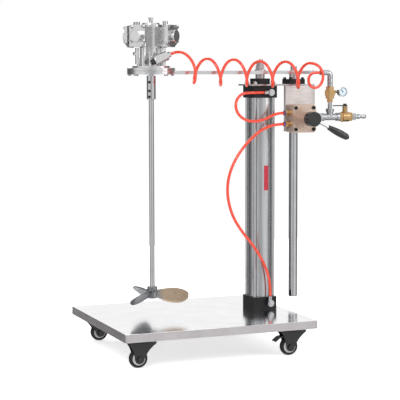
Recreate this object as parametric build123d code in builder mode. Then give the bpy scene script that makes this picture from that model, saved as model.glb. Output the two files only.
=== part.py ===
from build123d import *
from math import cos, hypot, radians, sin, tan
import os

# Pneumatic paint mixer on a wheeled steel deck.
# The origin is the middle of the deck's top face: X along its long side, Y to the back, Z up.

# Driving dimensions, millimetres
deck_length = 550.0
deck_depth = 480.0
deck_height = 22.0
deck_sheet = 2.0
deck_corner = 4.0

rail_width = 74.0
rail_inset = 6.0

caster_inset_x = 58.0
caster_inset_y = 42.0
caster_trail = 10.0
caster_plate_side = 66.0
caster_plate_thickness = 2.5
race_diameter = 46.0
race_height = 5.0
kingpin_diameter = 10.0
kingpin_head = 16.0
fork_width = 74.0
fork_sheet = 2.5
wheel_diameter = 50.0
wheel_width = 20.0
hub_diameter = 15.0
axle_diameter = 8.0
axle_drop = 50.0
pedal_pin = 4.0
pedal_sheet = 3.5

line_y = 22.0
column_x = 220.0
guide_x = 325.0
shaft_x = -107.0

cap_side = 75.0
cap_corner = 5.0
cap_height = 34.0
foot_seat_depth = 0.5
foot_seat_gap = 0.1
cylinder_bore = 63.0
barrel_diameter = 68.0
barrel_length = 565.0
tie_rod_diameter = 8.0
tie_rod_spacing = 56.5
tie_nut_across = 13.0
tie_nut_height = 6.0
piston_height = 25.0
end_gap = 20.0
piston_rod_diameter = 20.0
gland_side = 48.0
gland_height = 16.0
stud_diameter = 16.0
collar_diameter = 26.0
collar_height = 11.7

bracket_thickness = 4.0
bracket_left = 167.0
bracket_right = 368.0
bracket_front = -28.0
bracket_back = 60.0

arm_thickness = 10.0
arm_width = 50.0
arm_right = 389.0

guide_diameter = 25.0
guide_foot_above_deck = 25.0
bush_diameter = 40.0
bush_length = 59.0
bush_flange = 50.0
bush_flange_height = 14.0
bush_screw_spacing = 38.0

valve_plate_thickness = 12.0
valve_plate_width = 91.5
valve_plate_height = 129.0

valve_width = 71.0
valve_height = 78.0
valve_depth = 50.0
valve_x = 312.0
valve_drop = 92.0
valve_screw_x = 55.0
valve_screw_z = 60.0
valve_flange_thickness = 12.0
valve_port_spacing = 31.0
knob_diameter = 41.0
knob_height = 27.0
knob_front = -142.0
spindle_diameter = 12.0
lever_length = 123.0
lever_angle = -26.0
lever_rod_diameter = 8.0
grip_diameter = 20.0
grip_start = 54.0

port_y = -53.0
tee_x = 403.0
tee_half = 29.0
tee_diameter = 19.0
hose_diameter = 8.0

plate_diameter = 133.0
plate_thickness = 8.0
motor_turn = -52.0
pedestal_height = 54.0
pedestal_diameter = 44.0
pillar_diameter = 14.0
pillar_radius = 38.0
crankcase_diameter = 62.0
crankcase_height = 63.0
head_reach = 62.0
head_width = 50.0
head_height = 60.0
head_thickness = 8.0
head_cap_diameter = 34.0
head_cap_height = 12.0

mixing_shaft_diameter = 14.0
coupling_diameter = 25.0
coupling_length = 65.0
set_screw_diameter = 5.6
set_screw_turn = -134.0
hub_bottom = 46.0
propeller_hub_diameter = 28.0
propeller_hub_height = 33.0
blade_thickness = 4.0

coil_y = -69.0
coil_diameter = 79.0
coil_left = -18.0
coil_right = 345.0
coil_rise = 9.0
coil_fall = 4.0

running_clearance = 0.05
face_clearance = 0.3

# Heights worked out from the driving dimensions
race_top = -deck_height - caster_plate_thickness
crown_top = race_top - race_height - face_clearance
crown_bottom = crown_top - fork_sheet
axle_z = -deck_height - axle_drop
head_cap_bottom = cap_height + barrel_length
head_cap_top = head_cap_bottom + cap_height
bracket_top = head_cap_top + bracket_thickness
gland_top = bracket_top + gland_height
arm_bottom = gland_top + face_clearance + collar_height
arm_top = arm_bottom + arm_thickness
coil_start = (coil_left, arm_bottom + coil_rise)
coil_end = (coil_right, arm_bottom - coil_fall)
stroke = barrel_length - piston_height - 2 * end_gap
piston_bottom = cap_height + end_gap
plate_top = arm_top + plate_thickness
crankcase_bottom = plate_top + pedestal_height
crankcase_top = crankcase_bottom + crankcase_height
head_z = crankcase_bottom + crankcase_height / 2
valve_z = head_cap_top - valve_drop + face_clearance
valve_plate_back = bracket_front + valve_plate_thickness
valve_front = bracket_front - valve_depth
valve_left = valve_x - valve_width / 2
valve_right = valve_x + valve_width / 2
knob_back = knob_front + knob_height
coupling_top = arm_bottom - 3.0
coupling_bottom = coupling_top - coupling_length
pipe_z = valve_z + 2.5

wheel_names = ("front_left", "front_right", "back_left", "back_right")
swivel_x = deck_length / 2 - caster_inset_x
swivel_y = deck_depth / 2 - caster_inset_y
swivels = {
    "front_left": (-swivel_x, -swivel_y, -1),
    "front_right": (swivel_x, -swivel_y, -1),
    "back_left": (-swivel_x, swivel_y, 1),
    "back_right": (swivel_x, swivel_y, -1),
}
braked = ("front_right", "back_right")

motor_plane = Plane(origin=(shaft_x, line_y, 0), x_dir=(cos(radians(motor_turn)), sin(radians(motor_turn)), 0))
axis_plane = Plane(origin=(shaft_x, line_y, 0))


def save(part, name):
    """Label a finished piece and write it to its own STEP file."""
    part.label = name
    export_step(part, f"parts/{name}.step")


def group(*pieces):
    """Several solids that share one node."""
    return Compound(children=list(pieces))


def rod(x, y, bottom, top, diameter, bore=0.0):
    """A round upright piece, hollow where it has a bore."""
    with BuildPart() as piece:
        with BuildSketch(Plane((x, y, bottom))):
            Circle(diameter / 2)
            if bore:
                Circle(bore / 2, mode=Mode.SUBTRACT)
        extrude(amount=top - bottom)
    return piece.part


def hex_nut(x, y, bottom, across, height, bore):
    """An upright hexagon nut."""
    with BuildPart() as piece:
        with BuildSketch(Plane((x, y, bottom))):
            RegularPolygon(across / 2, 6, major_radius=False)
            Circle(bore / 2, mode=Mode.SUBTRACT)
        extrude(amount=height)
    return piece.part


def along_x(start, end, y, z, diameter, bore=0.0):
    """A round piece along X."""
    with BuildPart() as piece:
        with BuildSketch(Plane((start, y, z), x_dir=(0, 1, 0), z_dir=(1, 0, 0))):
            Circle(diameter / 2)
            if bore:
                Circle(bore / 2, mode=Mode.SUBTRACT)
        extrude(amount=end - start)
    return piece.part


def hose(points, diameter):
    """A hose along straight runs joined by arcs as large as the runs allow."""
    runs = [(Vector(*b) - Vector(*a)) for a, b in zip(points, points[1:])]
    radii = []
    for first, second in zip(runs, runs[1:]):
        turn = radians(first.get_angle(second))
        radii.append(0.45 * min(first.length, second.length) / tan(turn / 2))
    with BuildPart() as tube:
        with BuildLine() as route:
            FilletPolyline(*points, radius=radii)
        with BuildSketch(Plane(origin=points[0], z_dir=runs[0])):
            Circle(diameter / 2)
        sweep(path=route.line)
    return tube.part


os.makedirs("parts", exist_ok=True)

# Deck: a polished sheet tray with its edges folded down, open underneath
with BuildPart() as deck:
    with BuildSketch(Plane.XY.offset(-deck_height)):
        RectangleRounded(deck_length, deck_depth, deck_corner)
    extrude(amount=deck_height)
    fillet(deck.faces().sort_by(Axis.Z)[-1].edges(), 1.5)
    with BuildSketch(Plane.XY.offset(-deck_height)):
        RectangleRounded(deck_length - 2 * deck_sheet, deck_depth - 2 * deck_sheet, deck_corner - deck_sheet)
    extrude(amount=deck_height - deck_sheet, mode=Mode.SUBTRACT)
    # A shallow seat pressed into the sheet holds the foot of the cylinder
    with BuildSketch(Plane((column_x, line_y, 0))):
        RectangleRounded(cap_side + 2 * foot_seat_gap, cap_side + 2 * foot_seat_gap, cap_corner + foot_seat_gap)
    extrude(amount=-foot_seat_depth, mode=Mode.SUBTRACT)
save(deck.part, "deck_tray")

# Deck rails: two channels under the tray that the casters bolt to
with BuildPart() as rails:
    with BuildSketch(Plane.YZ.offset(-deck_length / 2 + deck_sheet + rail_inset)):
        with Locations((-swivel_y, -deck_sheet), (swivel_y, -deck_sheet)):
            Rectangle(rail_width, deck_height - deck_sheet, align=(Align.CENTER, Align.MAX))
        with Locations((-swivel_y, -deck_sheet), (swivel_y, -deck_sheet)):
            Rectangle(
                rail_width - 2 * deck_sheet,
                deck_height - 2 * deck_sheet,
                align=(Align.CENTER, Align.MAX),
                mode=Mode.SUBTRACT,
            )
    extrude(amount=deck_length - 2 * deck_sheet - 2 * rail_inset)
save(rails.part, "deck_rails")

# Caster plates: fixed plate, bearing race and king pin of each caster
with BuildPart() as caster_plates:
    for x, y, side in swivels.values():
        with BuildSketch(Plane((x, y, race_top))):
            RectangleRounded(caster_plate_side, caster_plate_side, 5)
        extrude(amount=caster_plate_thickness)
        with BuildSketch(Plane((x, y, race_top))):
            Circle(race_diameter / 2)
        extrude(amount=-race_height, taper=12)
        with BuildSketch(Plane((x, y, race_top))):
            Circle(kingpin_diameter / 2)
        extrude(amount=crown_bottom - face_clearance - race_top)
        with BuildSketch(Plane((x, y, crown_bottom - face_clearance))):
            Circle(kingpin_head / 2)
        extrude(amount=-4)
save(caster_plates.part, "caster_plates")

# Caster forks, axles, wheels and brake pedals
leg_inside = wheel_width / 2 + 2.0
leg_outside = leg_inside + fork_sheet
for name in wheel_names:
    x, y, side = swivels[name]
    wheel_x = x + side * caster_trail
    side_plane = Plane((x, y, 0), x_dir=(1, 0, 0), z_dir=(0, -1, 0))
    with BuildPart() as fork:
        with BuildSketch(side_plane.offset(-leg_outside)) as leg:
            with BuildLine():
                foot = side * caster_trail
                Polyline((-fork_width / 2, crown_top - 3), (-fork_width / 2, crown_top))
                Line((-fork_width / 2, crown_top), (fork_width / 2, crown_top))
                Line((fork_width / 2, crown_top), (fork_width / 2, crown_top - 3))
                ThreePointArc((fork_width / 2, crown_top - 3), ((fork_width / 2 + foot + 13) / 2 - 3, (crown_top + axle_z) / 2 + 1), (foot + 13, axle_z))
                Line((foot + 13, axle_z), (foot - 13, axle_z))
                ThreePointArc((foot - 13, axle_z), ((foot - 13 - fork_width / 2) / 2 + 3, (crown_top + axle_z) / 2 + 1), (-fork_width / 2, crown_top - 3))
            make_face()
            with Locations((side * caster_trail, axle_z)):
                Circle(13)
        extrude(amount=2 * leg_outside)
        with BuildSketch(Plane((x, y, crown_bottom))):
            Rectangle(2 * fork_width, 2 * leg_inside)
        extrude(amount=-90, mode=Mode.SUBTRACT)
        with Locations(Plane((x, y, crown_top))):
            Hole(kingpin_diameter / 2 + running_clearance, depth=fork_sheet)
        with Locations(side_plane.offset(-leg_outside)):
            with Locations((side * caster_trail, axle_z)):
                Cylinder(axle_diameter / 2, 4 * leg_outside, mode=Mode.SUBTRACT)
            if name in braked:
                with Locations((side * 24, axle_z + 28)):
                    Cylinder(pedal_pin / 2 + running_clearance, 4 * leg_outside, mode=Mode.SUBTRACT)
    wheel_plane = Plane((wheel_x, y, axle_z), x_dir=(1, 0, 0), z_dir=(0, -1, 0))
    with BuildPart() as axle:
        with BuildSketch(wheel_plane.offset(-leg_outside)):
            Circle(axle_diameter / 2)
        extrude(amount=2 * leg_outside)
        for face in (-1, 1):
            with BuildSketch(wheel_plane.offset(face * leg_outside)):
                RegularPolygon(6.5, 6, major_radius=False)
            extrude(amount=face * 5)
    save(group(fork.part, axle.part), f"caster_fork_{name}")

    half = wheel_width / 2
    radius = wheel_diameter / 2
    with BuildPart() as wheel:
        with BuildSketch(Plane((wheel_x, y, axle_z), x_dir=(1, 0, 0), z_dir=(0, 0, 1))):
            with BuildLine():
                bore = axle_diameter / 2 + running_clearance
                Polyline((bore, -leg_inside + face_clearance), (hub_diameter / 2, -leg_inside + face_clearance))
                Polyline((hub_diameter / 2, -leg_inside + face_clearance), (hub_diameter / 2, 3 - half))
                Polyline((hub_diameter / 2, 3 - half), (radius - 7, 3 - half), (radius - 6, -half))
                Polyline((radius - 6, -half), (radius - 3, -half))
                ThreePointArc((radius - 3, -half), (radius, 0), (radius - 3, half))
                Polyline((radius - 3, half), (radius - 6, half), (radius - 7, half - 3))
                Polyline((radius - 7, half - 3), (hub_diameter / 2, half - 3))
                Polyline((hub_diameter / 2, half - 3), (hub_diameter / 2, leg_inside - face_clearance))
                Polyline((hub_diameter / 2, leg_inside - face_clearance), (bore, leg_inside - face_clearance))
                Polyline((bore, leg_inside - face_clearance), (bore, -leg_inside + face_clearance))
            make_face()
        revolve(axis=Axis((wheel_x, y, axle_z), (0, 1, 0)))
    save(wheel.part, f"caster_wheel_{name}")

    if name in braked:
        pin_x = side * 24.0
        pin_z = axle_z + 28
        with BuildPart() as pedal:
            with BuildSketch(side_plane.offset(-leg_inside + 1)):
                with BuildLine():
                    FilletPolyline(
                        (pin_x, pin_z), (pin_x + side * 16, pin_z - 1), (pin_x + side * 29, pin_z - 11), radius=6
                    )
                    offset(amount=pedal_sheet / 2)
                make_face()
                with Locations((pin_x, pin_z)):
                    Circle(3.6)
            extrude(amount=2 * leg_inside - 2)
            with BuildSketch(side_plane.offset(-leg_outside)):
                with Locations((pin_x, pin_z)):
                    Circle(pedal_pin / 2)
            extrude(amount=2 * leg_outside)
        save(pedal.part, f"brake_pedal_{name}")

# Lift cylinder: square end caps, round barrel and four tie rods
def end_cap(bottom, top, rod_hole, port_z):
    """A square cap with tie-rod holes and a side port on the front face."""
    with BuildPart() as cap:
        with BuildSketch(Plane((column_x, line_y, bottom))):
            RectangleRounded(cap_side, cap_side, cap_corner)
            with GridLocations(tie_rod_spacing, tie_rod_spacing, 2, 2):
                Circle(tie_rod_diameter / 2, mode=Mode.SUBTRACT)
            if rod_hole:
                Circle(rod_hole / 2, mode=Mode.SUBTRACT)
        extrude(amount=top - bottom)
        front = line_y - cap_side / 2
        with BuildSketch(Plane((column_x + 12, front, port_z), x_dir=(1, 0, 0), z_dir=(0, 1, 0))):
            Circle(4)
        extrude(amount=12, mode=Mode.SUBTRACT)
    return cap.part


port_low = cap_height / 2
port_high = head_cap_bottom + cap_height / 2 - 2
save(end_cap(-foot_seat_depth, cap_height, 0, port_low), "cylinder_base_cap")
rod_passage = piston_rod_diameter + 2 * running_clearance
save(end_cap(head_cap_bottom, head_cap_top, rod_passage, port_high), "cylinder_head_cap")
save(rod(column_x, line_y, cap_height, head_cap_bottom, barrel_diameter, cylinder_bore), "cylinder_barrel")

with BuildPart() as tie_rods:
    with BuildSketch(Plane((column_x, line_y, -foot_seat_depth))):
        with GridLocations(tie_rod_spacing, tie_rod_spacing, 2, 2):
            Circle(tie_rod_diameter / 2)
    extrude(amount=foot_seat_depth + bracket_top + tie_nut_height + 2)
with BuildPart() as tie_nuts:
    with BuildSketch(Plane((column_x, line_y, bracket_top))):
        with GridLocations(tie_rod_spacing, tie_rod_spacing, 2, 2):
            RegularPolygon(tie_nut_across / 2, 6, major_radius=False)
            Circle(tie_rod_diameter / 2, mode=Mode.SUBTRACT)
    extrude(amount=tie_nut_height)
save(group(tie_rods.part, tie_nuts.part), "tie_rods")

with BuildPart() as gland:
    with BuildSketch(Plane((column_x, line_y, bracket_top))):
        Rectangle(gland_side, gland_side)
    extrude(amount=gland_height)
    chamfer(gland.edges().filter_by(Axis.Z), 9)
    with Locations(Plane((column_x, line_y, gland_top))):
        Hole(piston_rod_diameter / 2 + running_clearance, depth=gland_height)
save(gland.part, "rod_gland")

# Piston, piston rod and the nuts that clamp the arm
piston_outside = cylinder_bore - 2 * running_clearance
save(rod(column_x, line_y, piston_bottom, piston_bottom + piston_height, piston_outside, piston_rod_diameter), "piston")
washer_top = arm_top + 3
rod_nut_top = washer_top + 10
jam_nut_top = rod_nut_top + 8
with BuildPart() as piston_rod:
    with BuildSketch(Plane((column_x, line_y, piston_bottom))):
        Circle(piston_rod_diameter / 2)
    extrude(amount=arm_bottom - piston_bottom)
    with BuildSketch(Plane((column_x, line_y, arm_bottom))):
        Circle(stud_diameter / 2)
    extrude(amount=jam_nut_top + 12 - arm_bottom)
    chamfer(piston_rod.edges().sort_by(Axis.Z)[-1], 1.5)
save(piston_rod.part, "piston_rod")
rod_collar = rod(column_x, line_y, gland_top + face_clearance, arm_bottom, collar_diameter, piston_rod_diameter)
with BuildPart() as rod_nut:
    with BuildSketch(Plane((column_x, line_y, arm_top))):
        Circle(16)
        Circle(stud_diameter / 2, mode=Mode.SUBTRACT)
    extrude(amount=washer_top - arm_top)
    with BuildSketch(Plane((column_x, line_y, washer_top))):
        RegularPolygon(12, 6, major_radius=False)
        Circle(stud_diameter / 2, mode=Mode.SUBTRACT)
    extrude(amount=rod_nut_top - washer_top)
jam_nut = hex_nut(column_x, line_y, rod_nut_top, 20, jam_nut_top - rod_nut_top, stud_diameter)
save(group(rod_collar, rod_nut.part, jam_nut), "rod_nuts")

# Lift arm: a flat bar from the motor plate to past the guide rod
with BuildPart() as arm:
    with BuildSketch(Plane.XY.offset(arm_bottom)):
        with BuildLine():
            end = plate_diameter / 2
            Line((shaft_x, line_y - arm_width / 2), (arm_right, line_y - arm_width / 2))
            Line((arm_right, line_y - arm_width / 2), (arm_right, line_y + arm_width / 2))
            Line((arm_right, line_y + arm_width / 2), (shaft_x, line_y + arm_width / 2))
            Line((shaft_x, line_y + arm_width / 2), (shaft_x, line_y - arm_width / 2))
        make_face()
        with Locations((shaft_x, line_y)):
            Circle(end)
            Circle(coupling_diameter / 2 + 1, mode=Mode.SUBTRACT)
        with Locations((column_x, line_y)):
            Circle(stud_diameter / 2, mode=Mode.SUBTRACT)
        with Locations((guide_x, line_y)):
            Circle(6, mode=Mode.SUBTRACT)
    extrude(amount=arm_thickness)
    chamfer(arm.faces().sort_by(Axis.Z)[-1].outer_wire().edges(), 0.8)
save(arm.part, "lift_arm")

# Bracket plate over the head cap, with the square-flanged guide bush
with BuildPart() as bracket:
    with BuildSketch(Plane.XY.offset(head_cap_top)):
        with Locations(((bracket_left + bracket_right) / 2, (bracket_front + bracket_back) / 2)):
            Rectangle(bracket_right - bracket_left, bracket_back - bracket_front)
        with Locations((column_x, line_y)):
            Circle(piston_rod_diameter / 2 + 1, mode=Mode.SUBTRACT)
            with GridLocations(tie_rod_spacing, tie_rod_spacing, 2, 2):
                Circle(tie_rod_diameter / 2, mode=Mode.SUBTRACT)
        with Locations((guide_x, line_y)):
            Circle(bush_diameter / 2, mode=Mode.SUBTRACT)
    extrude(amount=bracket_thickness)
    fillet(bracket.edges().filter_by(Axis.Z).filter_by(lambda e: e.center().X < bracket_left + 1), 8)


bush_top = bracket_top + bush_flange_height
with BuildPart() as bush:
    with BuildSketch(Plane((guide_x, line_y, bracket_top))):
        RectangleRounded(bush_flange, bush_flange, 3)
    extrude(amount=bush_flange_height)
    with BuildSketch(Plane((guide_x, line_y, bracket_top))):
        Circle(bush_diameter / 2)
    extrude(amount=bush_flange_height - bush_length)
    with Locations(Plane((guide_x, line_y, bush_top))):
        Hole(guide_diameter / 2 + running_clearance, depth=bush_length)
save(bush.part, "guide_bush")


def socket_screw(plane, diameter, height):
    """A cap screw head with a hexagon socket, standing on its plane."""
    with BuildPart() as head:
        with BuildSketch(plane):
            Circle(diameter / 2)
        extrude(amount=height)
        with BuildSketch(plane.offset(height)):
            RegularPolygon(diameter / 4, 6)
        extrude(amount=-height / 2, mode=Mode.SUBTRACT)
    return head.part


spread = bush_screw_spacing / 2
bush_heads = [
    socket_screw(Plane((guide_x + i * spread, line_y + j * spread, bush_top)), 8.5, 5) for i in (-1, 1) for j in (-1, 1)
]

with BuildPart() as guide_rod:
    with BuildSketch(Plane((guide_x, line_y, guide_foot_above_deck))):
        Circle(guide_diameter / 2)
    extrude(amount=arm_bottom - guide_foot_above_deck)
    chamfer(guide_rod.edges().sort_by(Axis.Z)[0], 1.5)
    with BuildSketch(Plane((guide_x, line_y, arm_bottom))):
        Circle(6)
    extrude(amount=arm_thickness)
save(guide_rod.part, "guide_rod")
save(socket_screw(Plane((guide_x, line_y, arm_top)), 18, 12), "guide_rod_screw")

# Valve plate and the angle that hangs it from the bracket plate
valve_plate_middle = bracket_right - valve_plate_width / 2
with BuildPart() as valve_plate:
    with BuildSketch(Plane.XY.offset(head_cap_top)):
        with Locations((valve_plate_middle, (bracket_front + valve_plate_back) / 2)):
            Rectangle(valve_plate_width, valve_plate_thickness)
    extrude(amount=-valve_plate_height)
    chamfer(valve_plate.edges().filter_by(Axis.X).sort_by(Axis.Y)[:2], 0.8)
save(valve_plate.part, "valve_plate")
with BuildPart() as angle:
    with BuildSketch(Plane.YZ.offset(valve_plate_middle - 38)):
        with Locations((valve_plate_back, head_cap_top)):
            Rectangle(16, 3, align=(Align.MIN, Align.MAX))
            Rectangle(3, 20, align=(Align.MIN, Align.MAX))
    extrude(amount=76)
    with BuildSketch(Plane((guide_x, line_y, head_cap_top))):
        Circle(bush_diameter / 2 + 1)
    extrude(amount=-bush_length, mode=Mode.SUBTRACT)
save(group(bracket.part, angle.part), "bracket_plate")

# Hand valve: cast body, bolted cover, spindle with knob, lever and grip
valve_face = Plane((valve_x, bracket_front, valve_z), x_dir=(1, 0, 0), z_dir=(0, -1, 0))
body_depth = valve_depth - valve_flange_thickness
with BuildPart() as valve_body:
    with BuildSketch(valve_face):
        RectangleRounded(valve_width, valve_height, 6)
    extrude(amount=body_depth)
    with BuildSketch(valve_face.offset(body_depth)):
        Circle(spindle_diameter / 2 + running_clearance)
    extrude(amount=-10, mode=Mode.SUBTRACT)
save(valve_body.part, "valve_body")

with BuildPart() as valve_cover:
    with BuildSketch(valve_face.offset(body_depth)):
        RectangleRounded(valve_width, valve_height, 10)
    extrude(amount=valve_flange_thickness)
    cover_steps = ((31.0, 5.0), (25.0, 11.0), (18.0, valve_front - knob_back - face_clearance))
    for radius, height in cover_steps:
        with BuildSketch(valve_face.offset(valve_depth)):
            Circle(radius)
        extrude(amount=height)
    with BuildSketch(valve_face.offset(body_depth)):
        Circle(spindle_diameter / 2 + running_clearance)
    extrude(amount=valve_depth * 2, mode=Mode.SUBTRACT)
    with BuildSketch(valve_face.offset(valve_depth)):
        with GridLocations(valve_screw_x, valve_screw_z, 2, 2):
            Circle(5)
    extrude(amount=-4, mode=Mode.SUBTRACT)
save(valve_cover.part, "valve_cover")

cover_heads = []
for i in (-1, 1):
    for j in (-1, 1):
        spot = (valve_x + i * valve_screw_x / 2, valve_front + 4, valve_z + j * valve_screw_z / 2)
        cover_heads.append(socket_screw(Plane(spot, x_dir=(1, 0, 0), z_dir=(0, -1, 0)), 9.6, 7))
save(group(*bush_heads, *cover_heads), "socket_screws")

with BuildPart() as knob:
    with BuildSketch(valve_face.offset(bracket_front - knob_back)):
        Circle(knob_diameter / 2)
    extrude(amount=knob_height)
    fillet(knob.faces().sort_by(Axis.Y)[0].edges(), 2.5)
    with BuildSketch(valve_face.offset(body_depth - 8)):
        Circle(spindle_diameter / 2)
    extrude(amount=bracket_front - knob_back - body_depth + 8)
lever_dir = (cos(radians(lever_angle)), 0, sin(radians(lever_angle)))
lever_y = knob_front + knob_height / 2


def lever_plane(reach):
    """A plane across the lever at a distance from the spindle."""
    spot = (valve_x + reach * lever_dir[0], lever_y, valve_z + reach * lever_dir[2])
    return Plane(spot, x_dir=(0, 1, 0), z_dir=lever_dir)


lever_seat = knob_diameter / 2 - 0.5
with BuildPart() as lever_rod:
    with BuildSketch(lever_plane(lever_seat)):
        Circle(lever_rod_diameter / 2)
    extrude(amount=grip_start - lever_seat)
save(group(knob.part, lever_rod.part), "lever_hub")

grip_length = lever_length - grip_start
grip_profile = ((0.0, 0.66), (0.12, 0.78), (0.7, 1.0), (0.92, 0.86))
with BuildPart() as grip:
    for share, width in grip_profile:
        with BuildSketch(lever_plane(grip_start + share * grip_length)):
            Circle(width * grip_diameter / 2)
    loft()
    with BuildSketch(lever_plane(grip_start + 0.92 * grip_length)):
        Circle(0.86 * grip_diameter / 2)
    extrude(amount=0.08 * grip_length, taper=35)
save(grip.part, "lever_grip")

# Port bosses and push-in fittings on the valve's left side
hose_ports = (valve_z + valve_port_spacing / 2, valve_z - valve_port_spacing / 2)
boss_end = valve_left - 4
collet_start = boss_end - 10
hose_start = collet_start - 4
with BuildPart() as fittings:
    for z in hose_ports:
        with BuildSketch(Plane((valve_left, port_y, z), x_dir=(0, 1, 0), z_dir=(-1, 0, 0))):
            Circle(9)
        extrude(amount=valve_left - boss_end)
        with BuildSketch(Plane((boss_end, port_y, z), x_dir=(0, 1, 0), z_dir=(-1, 0, 0))):
            RegularPolygon(7, 6, major_radius=False)
        extrude(amount=boss_end - collet_start)
with BuildPart() as collets:
    for z in hose_ports:
        with BuildSketch(Plane((collet_start, port_y, z), x_dir=(0, 1, 0), z_dir=(-1, 0, 0))):
            Circle(6)
        extrude(amount=collet_start - hose_start)
save(group(fittings.part, collets.part), "valve_fittings")

# Banjo elbows on the cylinder's two ports
cap_front = line_y - cap_side / 2
elbow_y = cap_front - 14


def elbow(z, heading):
    """A banjo bolt and ring on a cap's front port, with a barbed leg in its heading."""
    banjo = Plane((column_x + 12, cap_front, z), x_dir=(1, 0, 0), z_dir=(0, -1, 0))
    leg = Plane((column_x + 12, elbow_y + 5, z), x_dir=(0, 1, 0), z_dir=heading)
    with BuildPart() as piece:
        with BuildSketch(banjo):
            Circle(7)
        extrude(amount=19)
        with BuildSketch(banjo.offset(4)):
            Circle(9.5)
        extrude(amount=12)
        with BuildSketch(leg):
            Circle(6)
        extrude(amount=20)
    return piece.part


save(group(elbow(port_high, (-1, 0, 0)), elbow(port_low, (0, 0, 1))), "port_elbows")

# Lift hoses: held at both ends, from the valve to the two elbows
head_hose_end = column_x + 12 - 20
base_hose_end = port_low + 20
head_hose_points = (
    (hose_start, port_y, hose_ports[0]),
    (hose_start - 22, port_y, hose_ports[0]),
    (205.0, -49.0, 540.0),
    (171.0, -47.0, 533.0),
    (140.0, -44.0, 540.0),
    (119.0, -42.0, 562.0),
    (118.0, -40.0, 592.0),
    (138.0, -36.0, port_high - 2.0),
    (170.0, elbow_y + 5, port_high),
    (head_hose_end, elbow_y + 5, port_high),
)
base_hose_points = (
    (hose_start, port_y, hose_ports[1]),
    (hose_start - 22, port_y, hose_ports[1]),
    (208.0, -51.0, 518.0),
    (180.0, -50.0, 504.0),
    (141.0, -49.0, 468.0),
    (111.0, -47.0, 426.0),
    (93.0, -46.0, 379.0),
    (91.0, -44.0, 328.0),
    (107.0, -42.0, 273.0),
    (136.0, -40.0, 229.0),
    (172.0, -37.0, 188.0),
    (202.0, -32.0, 146.0),
    (224.0, -26.0, 103.0),
    (column_x + 12, elbow_y + 5, 66.0),
    (column_x + 12, elbow_y + 5, base_hose_end),
)
save(hose(head_hose_points, hose_diameter), "lift_hose_upper")
save(hose(base_hose_points, hose_diameter), "lift_hose_lower")

# Inlet train on the valve's right side
union_start = valve_right + 13
union_end = tee_x - tee_half
with BuildPart() as inlet_union:
    with BuildSketch(Plane((valve_right, port_y, pipe_z), x_dir=(0, 1, 0), z_dir=(1, 0, 0))):
        Circle(8)
    extrude(amount=union_start - valve_right)
    with BuildSketch(Plane((union_start, port_y, pipe_z), x_dir=(0, 1, 0), z_dir=(1, 0, 0))):
        RegularPolygon(12, 6, major_radius=False)
    extrude(amount=union_end - union_start)
tee_top = pipe_z + 24
with BuildPart() as tee:
    with BuildSketch(Plane((union_end, port_y, pipe_z), x_dir=(0, 1, 0), z_dir=(1, 0, 0))):
        Circle(tee_diameter / 2)
    extrude(amount=2 * tee_half)
    for end in (union_end, tee_x + tee_half - 9):
        with BuildSketch(Plane((end, port_y, pipe_z), x_dir=(0, 1, 0), z_dir=(1, 0, 0))):
            Circle(tee_diameter / 2 + 2)
        extrude(amount=9)
    with BuildSketch(Plane((tee_x, port_y, pipe_z))):
        Circle(tee_diameter / 2)
    extrude(amount=tee_top - pipe_z)
    with BuildSketch(Plane((tee_x, port_y, tee_top))):
        Circle(tee_diameter / 2 + 2)
    extrude(amount=-9)
save(tee.part, "inlet_tee")

nipple_top = tee_top + 18
regulator_top = nipple_top + 44
gauge_z = nipple_top + 29
gauge_seat = tee_x + 17
regulator_steps = ((0, 10, 8), (10, 8, 12), (18, 16, 14), (34, 10, 11))
save(group(inlet_union.part, rod(tee_x, port_y, tee_top, nipple_top, 12)), "inlet_nipples")
with BuildPart() as regulator:
    for lift, height, radius in regulator_steps:
        with BuildSketch(Plane((tee_x, port_y, nipple_top + lift))):
            RegularPolygon(radius, 6, major_radius=False)
        extrude(amount=height)
    with BuildSketch(Plane((gauge_seat, port_y, gauge_z), x_dir=(0, 1, 0), z_dir=(1, 0, 0))):
        Circle(5)
    extrude(amount=-8)
save(regulator.part, "flow_regulator")

gauge_x = tee_x + 32
gauge_plane = Plane((gauge_x, port_y - 6, gauge_z), x_dir=(1, 0, 0), z_dir=(0, -1, 0))
with BuildPart() as gauge:
    with BuildSketch(gauge_plane):
        Circle(13.5)
    extrude(amount=13)
    with BuildSketch(gauge_plane.offset(11)):
        Circle(11.5)
    extrude(amount=2, mode=Mode.SUBTRACT)
    with BuildSketch(gauge_plane.offset(-11)):
        Circle(5)
    extrude(amount=11)
    with BuildSketch(Plane((gauge_seat, port_y, gauge_z), x_dir=(0, 1, 0), z_dir=(1, 0, 0))):
        Circle(3.5)
    extrude(amount=gauge_x - gauge_seat)
save(gauge.part, "gauge_case")
with BuildPart() as pointer:
    with BuildSketch(gauge_plane.offset(11 + face_clearance)):
        Circle(1.6)
        Rectangle(1.2, 9.5, align=(Align.CENTER, Align.MIN), rotation=40)
    extrude(amount=0.7)
save(pointer.part, "gauge_pointer")

riser_top = arm_bottom + 4
elbow_end = tee_x - 24
with BuildPart() as riser:
    with BuildLine() as riser_path:
        FilletPolyline((tee_x, port_y, regulator_top), (tee_x, port_y, riser_top), (elbow_end, port_y, riser_top), radius=9)
    with BuildSketch(Plane((tee_x, port_y, regulator_top))):
        Circle(7.5)
    sweep(path=riser_path.line)
hose_nut_end = elbow_end - 7
save(group(riser.part, along_x(hose_nut_end, elbow_end, port_y, riser_top, 14)), "riser_elbow")

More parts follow.
